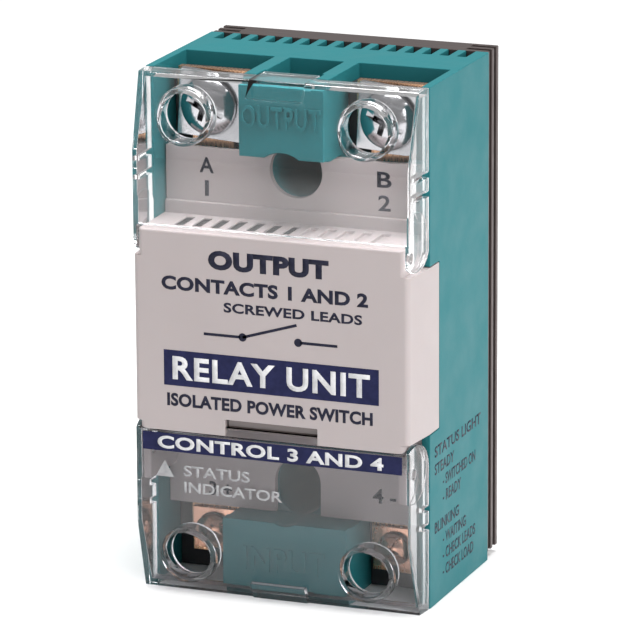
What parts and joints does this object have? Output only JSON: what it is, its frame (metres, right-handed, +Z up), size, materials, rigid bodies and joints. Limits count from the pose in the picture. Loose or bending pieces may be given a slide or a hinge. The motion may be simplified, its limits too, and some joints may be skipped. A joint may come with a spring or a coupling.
{
  "type": "solid state relay",
  "caption": "Panel-mount solid state relay: grooved aluminium base plate, moulded body, white front block and hinged clear covers over screw terminals.",
  "frame": {"origin": "midway between the two mounting holes, on the rear face of the base plate", "axes": "+X to the right seen from the front, -Y toward the front, +Z up from the input terminals to the output terminals"},
  "size_m": [0.053, 0.0449, 0.094],
  "materials": {
    "anodised_plate": "satin, dark anodised with the extrusion's lines",
    "teal_plastic": "fine moulded texture",
    "white_plastic": "fine moulded texture",
    "clear_plastic": "polished, transparent",
    "smoked_lens": "polished, smoked",
    "led_resin": "clear resin",
    "board_laminate": "solder mask",
    "black_epoxy": "moulded epoxy",
    "capacitor_box": "moulded box",
    "resistor_body": "lacquered",
    "varistor_coating": "dipped epoxy",
    "alumina": "fired ceramic",
    "silicon": "polished silicon",
    "soft_gel": "cloudy silicone gel",
    "copper": "bright strip",
    "nickel": "bright nickel plate",
    "brass_pink": "copper-tinted plate",
    "dark_plastic": "glass-filled moulding"
  },
  "bodies": {
    "relay": {"base_plate": "anodised_plate", "housing": "teal_plastic", "front_cover": "white_plastic", "indicator_lens": "smoked_lens", "light_guide": "clear_plastic", "indicator_led": "led_resin", "driver_board": "board_laminate", "optocoupler": "black_epoxy", "snubber_capacitor": "capacitor_box", "snubber_resistor": "resistor_body", "surge_varistor": "varistor_coating", "input_parts": "black_epoxy", "heat_sensor": "black_epoxy", "power_substrate": "alumina", "power_chips": "silicon", "gate_pins": "copper", "potting_gel": "soft_gel", "output_bar_left": "copper", "output_bar_right": "copper", "input_bar_left": "copper", "input_bar_right": "copper", "output_nuts": "nickel", "input_nuts": "nickel", "terminal_base_upper": "dark_plastic", "terminal_base_lower": "dark_plastic", "housing_screws": "nickel"},
    "upper_cover": {"upper_cover": "clear_plastic"},
    "lower_cover": {"lower_cover": "clear_plastic"},
    "output_washer_left": {"output_washer_left": "nickel"},
    "output_screw_left": {"output_screw_left": "nickel"},
    "output_washer_right": {"output_washer_right": "nickel"},
    "output_screw_right": {"output_screw_right": "nickel"},
    "input_washer_left": {"input_washer_left": "brass_pink"},
    "input_screw_left": {"input_screw_left": "brass_pink"},
    "input_washer_right": {"input_washer_right": "brass_pink"},
    "input_screw_right": {"input_screw_right": "brass_pink"}
  },
  "joints": [
    {"name": "upper_cover_hinge", "type": "hinge", "parent": "relay", "child": "upper_cover", "pos_m": [0, -0.0431, 0.0182], "axis": [1, 0, 0], "range_deg": [0, 100]},
    {"name": "lower_cover_hinge", "type": "hinge", "parent": "relay", "child": "lower_cover", "pos_m": [0, -0.04195, -0.0208], "axis": [-1, 0, 0], "range_deg": [0, 100]},
    {"name": "output_left_lift", "type": "slide", "parent": "relay", "child": "output_washer_left", "axis": [0, -1, 0], "range_m": [0, 0.0032]},
    {"name": "output_left_turn", "type": "hinge", "parent": "output_washer_left", "child": "output_screw_left", "pos_m": [-0.01684, -0.03, 0.0393], "axis": [0, -1, 0], "range_deg": [0, 1442]},
    {"name": "output_right_lift", "type": "slide", "parent": "relay", "child": "output_washer_right", "axis": [0, -1, 0], "range_m": [0, 0.0032]},
    {"name": "output_right_turn", "type": "hinge", "parent": "output_washer_right", "child": "output_screw_right", "pos_m": [0.01684, -0.03, 0.0393], "axis": [0, -1, 0], "range_deg": [0, 1442]},
    {"name": "input_left_lift", "type": "slide", "parent": "relay", "child": "input_washer_left", "axis": [0, -1, 0], "range_m": [0, 0.0024]},
    {"name": "input_left_turn", "type": "hinge", "parent": "input_washer_left", "child": "input_screw_left", "pos_m": [-0.0173, -0.03, -0.0386], "axis": [0, -1, 0], "range_deg": [0, 1442]},
    {"name": "input_right_lift", "type": "slide", "parent": "relay", "child": "input_washer_right", "axis": [0, -1, 0], "range_m": [0, 0.0024]},
    {"name": "input_right_turn", "type": "hinge", "parent": "input_washer_right", "child": "input_screw_right", "pos_m": [0.0173, -0.03, -0.0386], "axis": [0, -1, 0], "range_deg": [0, 1442]}
  ],
  "couplings": [
    {"joint": "output_left_turn", "follows": "output_left_lift", "rad_per_m": 7854},
    {"joint": "output_right_turn", "follows": "output_right_lift", "rad_per_m": 7854},
    {"joint": "input_left_turn", "follows": "input_left_lift", "rad_per_m": 10472},
    {"joint": "input_right_turn", "follows": "input_right_lift", "rad_per_m": 10472}
  ]
}
